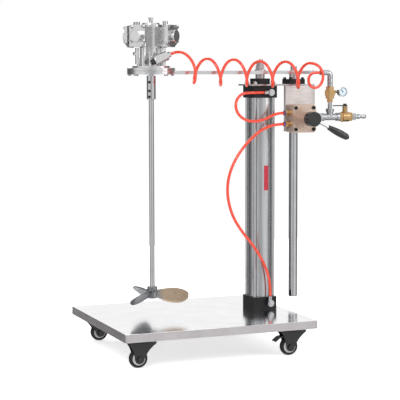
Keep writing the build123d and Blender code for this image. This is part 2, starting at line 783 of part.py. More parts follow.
# Ball valve with its turning handle, adapter and quick plug
ball_start = tee_x + tee_half
ball_end = ball_start + 38
ball_x = (ball_start + ball_end) / 2
stem_top = pipe_z + 30
with BuildPart() as ball_valve:
    for start, length, radius in ((0, 9, 12), (9, 20, 14.5), (29, 9, 12)):
        with BuildSketch(Plane((ball_start + start, port_y, pipe_z), x_dir=(0, 1, 0), z_dir=(1, 0, 0))):
            if length < 10:
                RegularPolygon(radius, 6, major_radius=False)
            else:
                Circle(radius)
        extrude(amount=length)
    with BuildSketch(Plane((ball_x, port_y, pipe_z))):
        Circle(7)
    extrude(amount=stem_top - pipe_z)
    with Locations(Plane((ball_x, port_y, stem_top))):
        Hole(3 + running_clearance, depth=6)
save(ball_valve.part, "ball_valve_body")
with BuildPart() as ball_handle:
    with BuildSketch(Plane((ball_x, port_y, stem_top + face_clearance))):
        RectangleRounded(13, 13, 3)
        with Locations((-4, 0)):
            RectangleRounded(34, 9, 4, align=(Align.MAX, Align.CENTER))
        Rectangle(18, 9, align=(Align.MAX, Align.CENTER))
    extrude(amount=3)
    with BuildSketch(Plane((ball_x, port_y, stem_top - 5))):
        Circle(3)
    extrude(amount=8 + face_clearance)
    with BuildSketch(Plane((ball_x, port_y, stem_top + face_clearance + 3))):
        RegularPolygon(5, 6, major_radius=False)
    extrude(amount=4)
save(ball_handle.part, "ball_valve_handle")

adapter_end = ball_end + 13
plug_end = adapter_end + 34
with BuildPart() as adapter:
    with BuildSketch(Plane((ball_end, port_y, pipe_z), x_dir=(0, 1, 0), z_dir=(1, 0, 0))):
        RegularPolygon(9.5, 6, major_radius=False)
    extrude(amount=adapter_end - ball_end)
plug_bore = 3.5
plug_steps = ((0, 5.5), (8, 5.5), (8, 7), (15, 7), (18, 5), (23, 5), (25, 6.2), (31, 6.2), (34, 5))
with BuildPart() as plug:
    with BuildSketch(Plane((adapter_end, port_y, pipe_z), x_dir=(1, 0, 0), z_dir=(0, -1, 0))):
        with BuildLine():
            Polyline((0, 0), *[(a, r) for a, r in plug_steps], (34, 0), close=True)
        make_face()
    revolve(axis=Axis((adapter_end, port_y, pipe_z), (1, 0, 0)))
    with BuildSketch(Plane((plug_end, port_y, pipe_z), x_dir=(0, 1, 0), z_dir=(-1, 0, 0))):
        Circle(plug_bore)
    extrude(amount=22, mode=Mode.SUBTRACT)
save(group(adapter.part, plug.part), "quick_plug")

# Motor: plate, pedestal on four pillars, crankcase with four radial cylinders
with BuildPart() as motor_plate:
    with BuildSketch(axis_plane.offset(arm_top)):
        Circle(plate_diameter / 2)
        Circle(coupling_diameter / 2 + 1, mode=Mode.SUBTRACT)
    extrude(amount=plate_thickness)
    chamfer(motor_plate.faces().sort_by(Axis.Z)[-1].outer_wire().edges(), 1)
save(motor_plate.part, "motor_plate")

plate_heads = []
for turn in range(8):
    angle_now = radians(22.5 + 45 * turn)
    reach = plate_diameter / 2 - 8
    spot = (shaft_x + reach * cos(angle_now), line_y + reach * sin(angle_now), arm_bottom)
    plate_heads.append(hex_nut(spot[0], spot[1], arm_bottom - 4, 8, 4, 1.0))

inlet_boss_y = line_y - 30
with BuildPart() as pedestal:
    with BuildSketch(motor_plane.offset(plate_top)):
        Circle(52)
        Circle(mixing_shaft_diameter / 2 + 1, mode=Mode.SUBTRACT)
    extrude(amount=5)
    with BuildSketch(motor_plane.offset(plate_top)):
        Circle(pedestal_diameter / 2)
        with PolarLocations(pillar_radius, 4):
            Circle(pillar_diameter / 2)
        for turn in (0, 90):
            Rectangle(2 * pillar_radius, 5, rotation=turn)
        Circle(mixing_shaft_diameter / 2 + 1, mode=Mode.SUBTRACT)
    extrude(amount=pedestal_height)
    with BuildSketch(Plane((shaft_x + 8, inlet_boss_y, plate_top + 22), x_dir=(1, 0, 0), z_dir=(0, 1, 0))):
        Circle(11)
    extrude(amount=14)
with BuildPart() as crankcase:
    with BuildSketch(motor_plane.offset(crankcase_bottom)):
        Circle(crankcase_diameter / 2)
    extrude(amount=crankcase_height)
    with BuildSketch(motor_plane.offset(crankcase_bottom + 4)):
        Rectangle(2 * head_reach, head_width - 10)
        Rectangle(head_width - 10, 2 * head_reach)
    extrude(amount=crankcase_height - 12)
    fillet(crankcase.edges().filter_by(Axis.Z), 5)
    with BuildSketch(motor_plane.offset(crankcase_top)):
        Circle(25)
    extrude(amount=5, taper=20)
    with BuildSketch(motor_plane.offset(crankcase_bottom)):
        Circle(mixing_shaft_diameter / 2 - 1 + running_clearance)
    extrude(amount=30, mode=Mode.SUBTRACT)
save(crankcase.part, "motor_crankcase")

heads = []
head_bolts = []
for number in range(4):
    turn = radians(motor_turn + 90 * number)
    out = (cos(turn), sin(turn), 0)
    seat = (shaft_x + head_reach * out[0], line_y + head_reach * out[1], head_z)
    face = Plane(seat, x_dir=(-sin(turn), cos(turn), 0), z_dir=out)
    with BuildPart() as head:
        with BuildSketch(face):
            with BuildLine():
                half_w = head_width / 2
                half_h = head_height / 2
                Polyline(
                    (-half_w, half_h), (half_w, half_h), (half_w, -half_h + 12), (9, -half_h), (-9, -half_h),
                    (-half_w, -half_h + 12), close=True,
                )
            outline = make_face()
            fillet(outline.vertices(), 4)
        extrude(amount=head_thickness)
        with BuildSketch(face.offset(head_thickness)):
            Circle(head_cap_diameter / 2)
        extrude(amount=head_cap_height)
        fillet(head.faces().sort_by(Axis(seat, out))[-1].edges(), 2)
    heads.append(head.part)
    for i, j in ((-19, 24), (19, 24), (-19, -14), (19, -14)):
        corner = face.offset(head_thickness)
        spot = corner.from_local_coords((i, j, 0))
        head_bolts.append(socket_screw(Plane(spot, x_dir=face.x_dir, z_dir=out), 8, 5))
save(group(*heads), "motor_heads")
save(group(*head_bolts, *plate_heads), "motor_fasteners")

# Caps and fitting on top of the motor
cap_seat = crankcase_top - 8
with BuildPart() as top_plug_black:
    with BuildSketch(motor_plane.offset(cap_seat)):
        with Locations((46, 0)):
            Circle(7)
    extrude(amount=18)
    fillet(top_plug_black.edges().sort_by(Axis.Z)[-1], 1.5)
with BuildPart() as top_plug_silver:
    with BuildSketch(motor_plane.offset(cap_seat)):
        with Locations((-46, 0)):
            Circle(9)
    extrude(amount=17)
    chamfer(top_plug_silver.edges().sort_by(Axis.Z)[-1], 1)
with BuildPart() as vent:
    with BuildSketch(motor_plane.offset(crankcase_top + 5)):
        Circle(5)
    extrude(amount=8)
    with BuildSketch(motor_plane.offset(crankcase_top + 13)):
        RegularPolygon(7, 6, major_radius=False)
    extrude(amount=7)
save(group(top_plug_black.part, top_plug_silver.part, vent.part), "motor_plugs")

# Throttle: an inclined valve body in front of the pedestal that the coil hose feeds
throttle_tilt = 23.0
throttle_length = 50.0
throttle_y = inlet_boss_y - 21
throttle_dir = (cos(radians(throttle_tilt)), 0, sin(radians(throttle_tilt)))
throttle_start = Vector(shaft_x - 10, throttle_y, plate_top + 17)
throttle_tip = throttle_start + Vector(*throttle_dir) * throttle_length
throttle_plane = Plane(throttle_start, x_dir=(0, 1, 0), z_dir=throttle_dir)
with BuildPart() as throttle:
    with BuildSketch(throttle_plane):
        Circle(13.5)
    extrude(amount=throttle_length - 10)
    fillet(throttle.edges().sort_by(Axis(throttle_start, throttle_dir))[0], 3)
    with BuildSketch(throttle_plane.offset(throttle_length - 10)):
        Circle(8)
    extrude(amount=10)
    with BuildSketch(Plane((shaft_x + 8, inlet_boss_y, plate_top + 22), x_dir=(1, 0, 0), z_dir=(0, -1, 0))):
        Circle(8)
    extrude(amount=14)
save(throttle.part, "motor_throttle")
with BuildPart() as throttle_knob:
    with BuildSketch(throttle_plane.offset(-face_clearance)):
        Circle(8)
    extrude(amount=-7)
    with BuildSketch(throttle_plane.offset(-face_clearance)):
        Circle(3)
    extrude(amount=0.2)
save(throttle_knob.part, "throttle_knob")

# Oil cup beside the pedestal, with its side plug
oiler_x = shaft_x - 43
oiler_y = line_y - 16
with BuildPart() as oiler_cup:
    with BuildSketch(Plane((oiler_x, oiler_y, plate_top + 10))):
        Circle(8)
    extrude(amount=pedestal_height - 10)
    with BuildSketch(Plane((oiler_x, oiler_y, plate_top + 38), x_dir=(0, 1, 0), z_dir=(-1, 0, 0))):
        Circle(5)
    extrude(amount=13)
save(group(pedestal.part, oiler_cup.part), "motor_pedestal")

# Rotor: motor shaft, coupling, mixing shaft and propeller
motor_shaft_diameter = mixing_shaft_diameter - 2
with BuildPart() as motor_shaft:
    with BuildSketch(axis_plane.offset(coupling_top - 24)):
        Circle(motor_shaft_diameter / 2)
    extrude(amount=crankcase_bottom + 29 - coupling_top + 24)
save(motor_shaft.part, "motor_shaft")

with BuildPart() as coupling:
    with BuildSketch(axis_plane.offset(coupling_bottom)):
        Circle(coupling_diameter / 2)
    extrude(amount=coupling_length)
    chamfer(coupling.edges().group_by(Axis.Z)[0], 1)
    with BuildSketch(axis_plane.offset(coupling_top)):
        Circle(motor_shaft_diameter / 2)
    extrude(amount=-24, mode=Mode.SUBTRACT)
    with BuildSketch(axis_plane.offset(coupling_bottom)):
        Circle(mixing_shaft_diameter / 2)
    extrude(amount=coupling_length - 24, mode=Mode.SUBTRACT)
    screw_levels = (coupling_bottom + 7, coupling_bottom + 23, coupling_top - 18)
    screw_side = Vector(cos(radians(set_screw_turn)), sin(radians(set_screw_turn)), 0)
    for z in screw_levels:
        with BuildSketch(Plane((shaft_x, line_y, z), x_dir=(0, 0, 1), z_dir=screw_side)):
            Circle(set_screw_diameter / 2)
        extrude(amount=coupling_diameter, mode=Mode.SUBTRACT)
screws = []
for z in screw_levels:
    start = motor_shaft_diameter / 2 if z > coupling_top - 24 else mixing_shaft_diameter / 2
    with BuildPart() as set_screw:
        seat = Vector(shaft_x, line_y, z) + screw_side * start
        with BuildSketch(Plane(seat, x_dir=(0, 0, 1), z_dir=screw_side)):
            Circle(set_screw_diameter / 2)
        extrude(amount=coupling_diameter / 2 - start - 1)
    screws.append(set_screw.part)
save(group(coupling.part, *screws), "shaft_coupling")

hub_top = hub_bottom + propeller_hub_height
save(rod(shaft_x, line_y, hub_bottom + 2, coupling_top - 24, mixing_shaft_diameter), "mixing_shaft")

# Propeller: three twisted marine blades lofted through five chord sections
# reach, chord, pitch and drop of each section
blade_sections = (
    (11.0, 24.0, 58.0, 4.0),
    (38.0, 42.0, 50.0, 7.0),
    (70.0, 50.0, 45.0, 9.0),
    (92.0, 36.0, 40.0, 9.0),
    (101.0, 16.0, 38.0, 8.0),
)
hub_middle = hub_bottom + propeller_hub_height / 2
blade_phase = -22.0
blades = []
for number in range(3):
    turn = radians(blade_phase + 120 * number)
    out = (cos(turn), sin(turn), 0)
    with BuildPart() as blade:
        for reach, chord, pitch, drop in blade_sections:
            middle = (shaft_x + reach * out[0], line_y + reach * out[1], hub_middle - drop)
            with BuildSketch(Plane(middle, x_dir=(-sin(turn), cos(turn), 0), z_dir=out)):
                SlotOverall(chord, blade_thickness, rotation=pitch)
        loft()
    blades.append(blade.part)
with BuildPart() as propeller:
    with BuildSketch(axis_plane.offset(hub_bottom)):
        Circle(propeller_hub_diameter / 2)
    extrude(amount=propeller_hub_height)
    fillet(propeller.edges(), 1.5)
    for blade in blades:
        add(blade)
    with Locations(Plane((shaft_x, line_y, hub_top))):
        Hole(mixing_shaft_diameter / 2, depth=propeller_hub_height)
    with BuildSketch(Plane((shaft_x, line_y, hub_middle + 5), x_dir=(1, 0, 0), z_dir=(0, -1, 0))):
        Circle(3.2)
    extrude(amount=propeller_hub_diameter, mode=Mode.SUBTRACT)
save(propeller.part, "propeller")

# Coil hose: its coil as one fat tube, and its plain ends
start_face = Vector(coil_start[0], coil_y, coil_start[1])
end_face = Vector(coil_end[0], coil_y, coil_end[1])
with BuildPart() as coil:
    with BuildSketch(Plane(start_face, z_dir=end_face - start_face)):
        Circle(coil_diameter / 2)
    extrude(amount=(end_face - start_face).length)
save(coil.part, "coil_hose")
coil_ring = coil_diameter / 2 - hose_diameter / 2
motor_end_points = (
    tuple(throttle_tip),
    tuple(throttle_tip + Vector(*throttle_dir) * 20),
    (coil_left - 18, -50.0, coil_start[1] + 50),
    (coil_start[0] - 10, coil_y + 8, coil_start[1] + coil_ring - 2),
    (coil_start[0] + 0.9, coil_y + 8, coil_start[1] + coil_ring - 2),
)
valve_end_points = (
    (coil_end[0] + 0.4, coil_y + 12, coil_end[1] - 16),
    (coil_end[0] + 8, coil_y + 14, coil_end[1] - 14),
    (coil_end[0] + 13, port_y, riser_top),
    (hose_nut_end - 0.1, port_y, riser_top),
)
save(hose(motor_end_points, hose_diameter), "coil_hose_motor_end")
save(hose(valve_end_points, hose_diameter), "coil_hose_valve_end")
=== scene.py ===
import bpy
import bmesh
from math import cos, pi, radians, sin
from mathutils import Matrix, Vector


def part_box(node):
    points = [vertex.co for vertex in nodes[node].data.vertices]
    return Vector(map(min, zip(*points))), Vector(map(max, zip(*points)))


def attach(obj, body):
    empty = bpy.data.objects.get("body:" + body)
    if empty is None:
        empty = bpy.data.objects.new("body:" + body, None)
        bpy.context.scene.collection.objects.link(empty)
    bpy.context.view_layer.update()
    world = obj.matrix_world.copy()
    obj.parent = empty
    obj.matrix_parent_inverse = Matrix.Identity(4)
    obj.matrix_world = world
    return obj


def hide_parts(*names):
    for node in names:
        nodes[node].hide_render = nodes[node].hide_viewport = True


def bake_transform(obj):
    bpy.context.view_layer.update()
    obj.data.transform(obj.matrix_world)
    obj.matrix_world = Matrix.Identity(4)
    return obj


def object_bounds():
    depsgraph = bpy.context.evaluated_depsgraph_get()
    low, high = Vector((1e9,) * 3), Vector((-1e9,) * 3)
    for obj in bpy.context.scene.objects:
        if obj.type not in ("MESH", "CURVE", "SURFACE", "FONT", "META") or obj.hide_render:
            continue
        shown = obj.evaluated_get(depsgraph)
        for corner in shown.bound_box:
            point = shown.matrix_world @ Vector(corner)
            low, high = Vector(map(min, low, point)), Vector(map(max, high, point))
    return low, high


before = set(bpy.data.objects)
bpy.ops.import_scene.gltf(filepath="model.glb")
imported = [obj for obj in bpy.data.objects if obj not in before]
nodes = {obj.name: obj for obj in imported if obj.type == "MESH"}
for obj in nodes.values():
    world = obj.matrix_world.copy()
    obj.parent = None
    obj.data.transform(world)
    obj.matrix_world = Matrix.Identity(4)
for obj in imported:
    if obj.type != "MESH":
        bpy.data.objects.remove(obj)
box_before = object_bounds()
mm = 0.001

# Deck: a tray of stainless sheet with its edges folded down, screwed to two zinc-plated channels.
# The top is polished and reflects softly. The folded sides get painted shade: a darker grey colour and less metal value
# where the surface turns away from up.


def srgb(text):
    """A hex colour as linear numbers with alpha."""
    values = [int(text[i : i + 2], 16) / 255 for i in (1, 3, 5)]
    return [v / 12.92 if v <= 0.04045 else ((v + 0.055) / 1.055) ** 2.4 for v in values] + [1.0]


def add_node(tree, kind, settings=None, values=None, links=None):
    """Add a shader node with its settings, its input values and the sockets that feed it."""
    added = tree.nodes.new(kind)
    for name, value in (settings or {}).items():
        setattr(added, name, value)
    for name, value in (values or {}).items():
        added.inputs[name].default_value = value
    for name, socket in (links or {}).items():
        tree.links.new(socket, added.inputs[name])
    return added


def two_tone(tree, dark, light, pattern):
    """The colour between two close tones that a pattern picks."""
    tint = add_node(tree, "ShaderNodeValToRGB", links={"Fac": pattern})
    for element, position, colour in zip(tint.color_ramp.elements, (0.3, 0.7), (dark, light)):
        element.position = position
        element.color = srgb(colour)
    return tint.outputs["Color"]


def material(name, dark, light, metallic, rough_low, rough_high, grain, stretch=(1, 1, 1), bump=0.0, coat=0.0):
    """A finish whose colour and roughness follow a noise; grain and bump are in millimetres."""
    made = bpy.data.materials.new(name)
    made.use_nodes = True
    tree = made.node_tree
    shader = tree.nodes["Principled BSDF"]
    coord = add_node(tree, "ShaderNodeTexCoord")
    place = add_node(
        tree, "ShaderNodeMapping", values={"Scale": [s / (grain * mm) for s in stretch]},
        links={"Vector": coord.outputs["Object"]},
    )
    noise = add_node(
        tree, "ShaderNodeTexNoise", values={"Scale": 1.0, "Detail": 3.0}, links={"Vector": place.outputs["Vector"]}
    )
    rough = add_node(
        tree, "ShaderNodeMapRange", values={"To Min": rough_low, "To Max": rough_high},
        links={"Value": noise.outputs["Fac"]},
    )
    tree.links.new(two_tone(tree, dark, light, noise.outputs["Fac"]), shader.inputs["Base Color"])
    tree.links.new(rough.outputs["Result"], shader.inputs["Roughness"])
    shader.inputs["Metallic"].default_value = metallic
    if coat:
        shader.inputs["Coat Weight"].default_value = coat
        shader.inputs["Coat Roughness"].default_value = 0.08
    if bump:
        relief = add_node(
            tree, "ShaderNodeBump", values={"Strength": 0.35, "Distance": bump * mm},
            links={"Height": noise.outputs["Fac"]},
        )
        tree.links.new(relief.outputs["Normal"], shader.inputs["Normal"])
    return made


def second_finish(made, mask, dark, light, metallic):
    """Give a finish a second pair of colours and metal value where the mask is one."""
    tree = made.node_tree
    shader = tree.nodes["Principled BSDF"]
    first = shader.inputs["Base Color"].links[0].from_socket
    second = two_tone(tree, dark, light, tree.nodes["Noise Texture"].outputs["Fac"])
    mix = add_node(tree, "ShaderNodeMix", {"data_type": "RGBA"}, links={"Factor": mask, "A": first, "B": second})
    level = add_node(
        tree, "ShaderNodeMapRange",
        values={"To Min": shader.inputs["Metallic"].default_value, "To Max": metallic}, links={"Value": mask},
    )
    tree.links.new(mix.outputs["Result"], shader.inputs["Base Color"])
    tree.links.new(level.outputs["Result"], shader.inputs["Metallic"])


def give(finish, *names):
    """Give a finish to the named pieces of the frame."""
    for name in names:
        nodes[name].data.materials.clear()
        nodes[name].data.materials.append(finish)


def break_edges(*names):
    """Take the sharpness off a square piece's edges, as a file does."""
    for name in names:
        edge = nodes[name].modifiers.new("broken_edge", "BEVEL")
        edge.width = 0.7 * mm
        edge.segments = 2
        edge.limit_method = "ANGLE"
        edge.angle_limit = radians(40)
        edge.harden_normals = True


# Polished stainless sheet: near white, with slow changes in how sharply it reflects
deck_steel = material("polished_stainless_sheet_with_painted_side_shade", "#E6E6E8", "#EFEFF0", 1.0, 0.09, 0.17, 60)
deck_tree = deck_steel.node_tree
facing = add_node(
    deck_tree, "ShaderNodeSeparateXYZ", links={"Vector": deck_tree.nodes["Texture Coordinate"].outputs["Normal"]}
)
# Painted shade: the colour turns darker grey and less metallic as the surface's normal turns away from up, on the
# folded sides
painted_side_shade = add_node(
    deck_tree, "ShaderNodeMapRange", values={"From Min": 0.75, "From Max": 0.35}, links={"Value": facing.outputs["Z"]}
)
second_finish(deck_steel, painted_side_shade.outputs["Result"], "#B4B0B1", "#C0BCBD", 0.8)
# Bright zinc: a light grey metal, a little cloudy
zinc = material("bright_zinc_plate", "#A9ABAE", "#C4C6C8", 1.0, 0.2, 0.36, 6)
give(deck_steel, "deck_tray")
give(zinc, "deck_rails")
break_edges("deck_tray")

# Casters: four 50 mm swivel casters, bolted under the channels, two of them with a brake pedal.
# Fork and pedal are moulded nylon, and the black tread sits on a hub with a pale ring on each side.


def mesh_object(name, mesh, finish, body=None):
    """A finished mesh as a piece, riding on a body where one is given."""
    piece = bpy.data.objects.new(name, mesh)
    bpy.context.scene.collection.objects.link(piece)
    mesh.materials.append(finish)
    if body:
        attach(piece, body)
    return piece


def mesh_from(bm, name):
    """Turn a finished bmesh into a mesh."""
    mesh = bpy.data.meshes.new(name)
    bm.to_mesh(mesh)
    bm.free()
    return mesh


# Black anodising: a soft satin black
black_coat = material("black_anodised_cap", "#141416", "#1E1E21", 0.35, 0.32, 0.48, 3)
# Moulded nylon: black, with a fine orange-peel skin
caster_plastic = material("black_caster_nylon", "#0F0F10", "#19191B", 0.0, 0.3, 0.44, 2, bump=0.04, coat=0.2)
# Tread: black and duller than the fork
tread = material("black_caster_tread", "#101010", "#1B1B1B", 0.0, 0.5, 0.66, 1.5, bump=0.06)
# Hub ring: pale moulded plastic
ring_grey = material("light_grey_wheel_ring", "#B9BCBE", "#CCCED0", 0.0, 0.38, 0.5, 3)
give(black_coat, "caster_plates")
for name in nodes:
    if name.startswith(("caster_fork", "brake_pedal")):
        give(caster_plastic, name)
    if name.startswith("caster_wheel"):
        give(tread, name)
ring_inner = 8.2 * mm
ring_outer = 17.6 * mm
ring_near = 7.05 * mm
ring_far = 8.6 * mm
ring_profile = (
    (ring_inner, ring_near), (ring_inner, ring_far), (ring_outer - mm, ring_far),
    (ring_outer, ring_far - mm), (ring_outer, ring_near),
)
for wheel_place in ("front_left", "front_right", "back_left", "back_right"):
    low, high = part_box("caster_wheel_" + wheel_place)
    middle = (Vector(low) + Vector(high)) / 2
    for side, side_name in ((-1, "left"), (1, "right")):
        bm = bmesh.new()
        verts = [bm.verts.new((middle.x + r, middle.y + side * d, middle.z)) for r, d in ring_profile]
        edges = [bm.edges.new(pair) for pair in zip(verts, verts[1:])]
        bmesh.ops.spin(
            bm, geom=verts + edges, cent=middle, axis=(0, 1, 0), angle=2 * pi, steps=64, use_merge=True
        )
        bmesh.ops.remove_doubles(bm, verts=bm.verts, dist=1e-6)
        bmesh.ops.recalc_face_normals(bm, faces=bm.faces)
        ring = mesh_from(bm, "wheel_ring")
        mesh_object(f"wheel_ring_{wheel_place}_{side_name}", ring, ring_grey, "wheel_" + wheel_place)

# Lift cylinder: a drawn aluminium barrel held between two black caps by four long tie rods.
# The chromed rod leaves through the gland, and a bare red label is stuck on the barrel.

# Drawn aluminium: streaks run along the barrel
barrel_finish = material("drawn_aluminium_barrel", "#BCBDC0", "#CCCDCF", 1.0, 0.2, 0.32, 5, (1, 1, 0.05))
# Hard chrome: mirror bright and neutral
chrome = material("hard_chrome", "#C4C5C8", "#CDCED0", 1.0, 0.04, 0.09, 30)
label_red = material("plain_red_label", "#A3122A", "#B21C35", 0.0, 0.32, 0.42, 5)
give(black_coat, "cylinder_base_cap", "cylinder_head_cap", "rod_gland")
give(barrel_finish, "cylinder_barrel", "piston")
give(chrome, "tie_rods", "piston_rod")
give(zinc, "rod_nuts")
break_edges("cylinder_base_cap", "cylinder_head_cap", "rod_gland")
label_bottom = 338 * mm
label_top = 408 * mm
label_first = -94
label_span = 24
label_steps = 8
low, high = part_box("cylinder_barrel")
barrel_x = (low[0] + high[0]) / 2
barrel_y = (low[1] + high[1]) / 2
label_radius = (high[0] - low[0]) / 2 + 0.15 * mm
bm = bmesh.new()
columns = []
for k in range(label_steps + 1):
    turn = radians(label_first + label_span * k / label_steps)
    x = barrel_x + label_radius * cos(turn)
    y = barrel_y + label_radius * sin(turn)
    columns.append((bm.verts.new((x, y, label_bottom)), bm.verts.new((x, y, label_top))))
for one, two in zip(columns, columns[1:]):
    face = bm.faces.new((one[0], two[0], two[1], one[1]))
    face.smooth = True
mesh_object("barrel_label", mesh_from(bm, "barrel_label"), label_red, "frame")

# Arm and guide: a stainless bar across the rod and a chromed guide rod beside the cylinder.
# The rod runs in a black bush on the zinc-plated bracket, so that the arm can't turn.

# Brushed stainless: fine lines along the bar
arm_steel = material("brushed_stainless_bar", "#C9CACD", "#DCDDDF", 1.0, 0.16, 0.3, 4, (0.06, 1, 1))
give(arm_steel, "lift_arm")
give(chrome, "guide_rod")
give(zinc, "bracket_plate", "guide_rod_screw")
give(black_coat, "guide_bush")
break_edges("bracket_plate", "guide_bush", "lift_arm")

# Hand valve: a coated casting with four black socket screws, on an anodised plate in front of the bracket.
# Two brass push-in fittings with blue release rings take the lift hoses; the lever turns the knob.


def beyond(made, centre, scale, start, end):
    """A mask that goes from zero to one between two distances from a centre, in millimetres."""
    tree = made.node_tree
    away = add_node(tree, "ShaderNodeVectorMath", {"operation": "SUBTRACT"})
    away.inputs[1].default_value = [c * mm for c in centre]
    tree.links.new(tree.nodes["Texture Coordinate"].outputs["Object"], away.inputs[0])
    flat = add_node(tree, "ShaderNodeVectorMath", {"operation": "MULTIPLY"})
    flat.inputs[1].default_value = scale
    tree.links.new(away.outputs["Vector"], flat.inputs[0])
    far = add_node(tree, "ShaderNodeVectorMath", {"operation": "LENGTH"})
    tree.links.new(flat.outputs["Vector"], far.inputs[0])
    level = add_node(
        tree, "ShaderNodeMapRange", values={"From Min": start * mm, "From Max": end * mm},
        links={"Value": far.outputs["Value"]},
    )
    return level.outputs["Result"]


# Clear anodised plate: satin, brushed across
plate_finish = material("clear_anodised_plate", "#C6C2BF", "#D6D2CF", 0.55, 0.4, 0.55, 5, (0.2, 1, 1))
# Champagne coat: a warm metallic skin on the casting
valve_cast = material("champagne_coated_casting", "#BFA898", "#CBB6A8", 0.75, 0.28, 0.4, 4)
# Bare brass: yellow and slightly dull
brass = material("bare_brass", "#B8935F", "#CDAD80", 1.0, 0.16, 0.28, 5)
# Moulded plastic: near black, with a fine grain
black_plastic = material("black_moulded_plastic", "#18191A", "#232425", 0.0, 0.32, 0.46, 2, bump=0.05, coat=0.2)
blue_collet = material("blue_release_collet", "#3F3C93", "#5450A8", 0.0, 0.3, 0.42, 2)
# The lever's rod is chromed where it leaves the knob's radius
lever_finish = material("black_knob_and_chromed_rod", "#18191A", "#232425", 0.0, 0.2, 0.3, 6)
chromed_rod = beyond(lever_finish, (312, 0, 541.3), (1, 0, 1), 20.8, 21.2)
second_finish(lever_finish, chromed_rod, "#C4C5C8", "#CDCED0", 1.0)
give(plate_finish, "valve_plate")
give(valve_cast, "valve_body", "valve_cover")
give(black_coat, "socket_screws")
give(brass, "valve_fittings")
give(lever_finish, "lever_hub")
give(black_plastic, "lever_grip")
break_edges("valve_plate", "valve_body", "valve_cover")
hose_start = 258.5
port_y = -53.0
upper_port_z = 556.8
lower_port_z = 525.8
collet_radius = 6.3 * mm
collet_depth = 3.6 * mm
for number, z in enumerate((upper_port_z, lower_port_z)):
    bm = bmesh.new()
    centre = Vector((hose_start + 2, port_y, z)) * mm
    turned = Matrix.Translation(centre) @ Matrix.Rotation(pi / 2, 4, "Y")
    bmesh.ops.create_cone(
        bm, cap_ends=True, segments=32, radius1=collet_radius, radius2=collet_radius, depth=collet_depth,
        matrix=turned,
    )
    for face in bm.faces:
        face.smooth = len(face.verts) == 4
    mesh_object(f"release_collet_{number + 1}", mesh_from(bm, "collet"), blue_collet, "frame")

# Lift hoses: two red 8 mm polyurethane hoses from the hand valve to the chromed elbows in the caps.
# Both ends sit on the frame, so they keep their shape when the arm moves.


def route_points(points, step_count):
    """Points read from the NURBS spline through control points given in millimetres."""
    curve = bpy.data.curves.new("route", "CURVE")
    curve.dimensions = "3D"
    spline = curve.splines.new("NURBS")
    spline.points.add(len(points) - 1)
    for point, place in zip(spline.points, points):
        point.co = (*(c * mm for c in place), 1.0)
    spline.order_u = 3
    spline.use_endpoint_u = True
    spline.resolution_u = step_count
    holder = bpy.data.objects.new("route", curve)
    bpy.context.scene.collection.objects.link(holder)
    line = bpy.data.meshes.new_from_object(holder)
    places = [v.co.copy() for v in line.vertices]
    bpy.data.objects.remove(holder)
    bpy.data.meshes.remove(line)
    return places


def tube_mesh(name, path, radius, sides=14):
    """A round tube whose rings follow the path without twisting."""
    bm = bmesh.new()
    side = Vector((0, 1, 0))
    rings = []
    for i, place in enumerate(path):
        ahead = path[min(i + 1, len(path) - 1)] - path[max(i - 1, 0)]
        ahead.normalize()
        side = (side - ahead * side.dot(ahead)).normalized()
        up = ahead.cross(side)
        ring = []
        for k in range(sides):
            turn = 2 * pi * k / sides
            ring.append(bm.verts.new(place + radius * (cos(turn) * side + sin(turn) * up)))
        rings.append(ring)
    for one, two in zip(rings, rings[1:]):
        for k in range(sides):
            face = bm.faces.new((one[k], one[(k + 1) % sides], two[(k + 1) % sides], two[k]))
            face.smooth = True
    bm.faces.new(list(reversed(rings[0])))
    bm.faces.new(rings[-1])
    return mesh_from(bm, name)


# Polyurethane hose: glossy orange red
hose_red = material("red_polyurethane_hose", "#D63A24", "#E64A30", 0.0, 0.22, 0.32, 8, coat=0.35)
give(chrome, "port_elbows")
give(hose_red, "lift_hose_upper", "lift_hose_lower")
hose_diameter = 8 * mm
valve_stub = hose_start - 22
upper_points = [
    (hose_start, port_y, upper_port_z),
    (valve_stub, port_y, upper_port_z),
    (205, -49, 540),
    (171, -47, 533),
    (140, -44, 540),
    (119, -42, 562),
    (118, -40, 592),
    (138, -36, 612),
    (170, -24.5, 614),
    (212, -24.5, 614),
]
lower_points = [
    (hose_start, port_y, lower_port_z),
    (valve_stub, port_y, lower_port_z),
    (208, -51, 518),
    (180, -50, 504),
    (141, -49, 468),
    (111, -47, 426),
    (93, -46, 379),
    (91, -44, 328),
    (107, -42, 273),
    (136, -40, 229),
    (172, -37, 188),
    (202, -32, 146),
    (224, -26, 103),
    (232, -24.5, 66),
    (232, -24.5, 37),
]
for name, points in (("lift_hose_upper", upper_points), ("lift_hose_lower", lower_points)):
    tube = tube_mesh(name + "_tube", route_points(points, 8), hose_diameter / 2)
    hose = mesh_object(name + "_tube", tube, hose_red, "frame")
    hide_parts(name)

# Air inlet: a zinc-plated quick plug, a brass ball valve, a tee and a brass regulator, screwed in line.
# The riser's elbow at its top takes the coil hose.

give(chrome, "inlet_nipples")
give(zinc, "inlet_tee", "riser_elbow", "quick_plug")
give(brass, "flow_regulator", "ball_valve_body")
give(black_plastic, "ball_valve_handle")

# Gauge: a small round gauge screwed into the regulator's side, with a pale dial in a zinc-plated case.
# The dial has plain division marks and no numbers, and its pointer is a thin black hand.

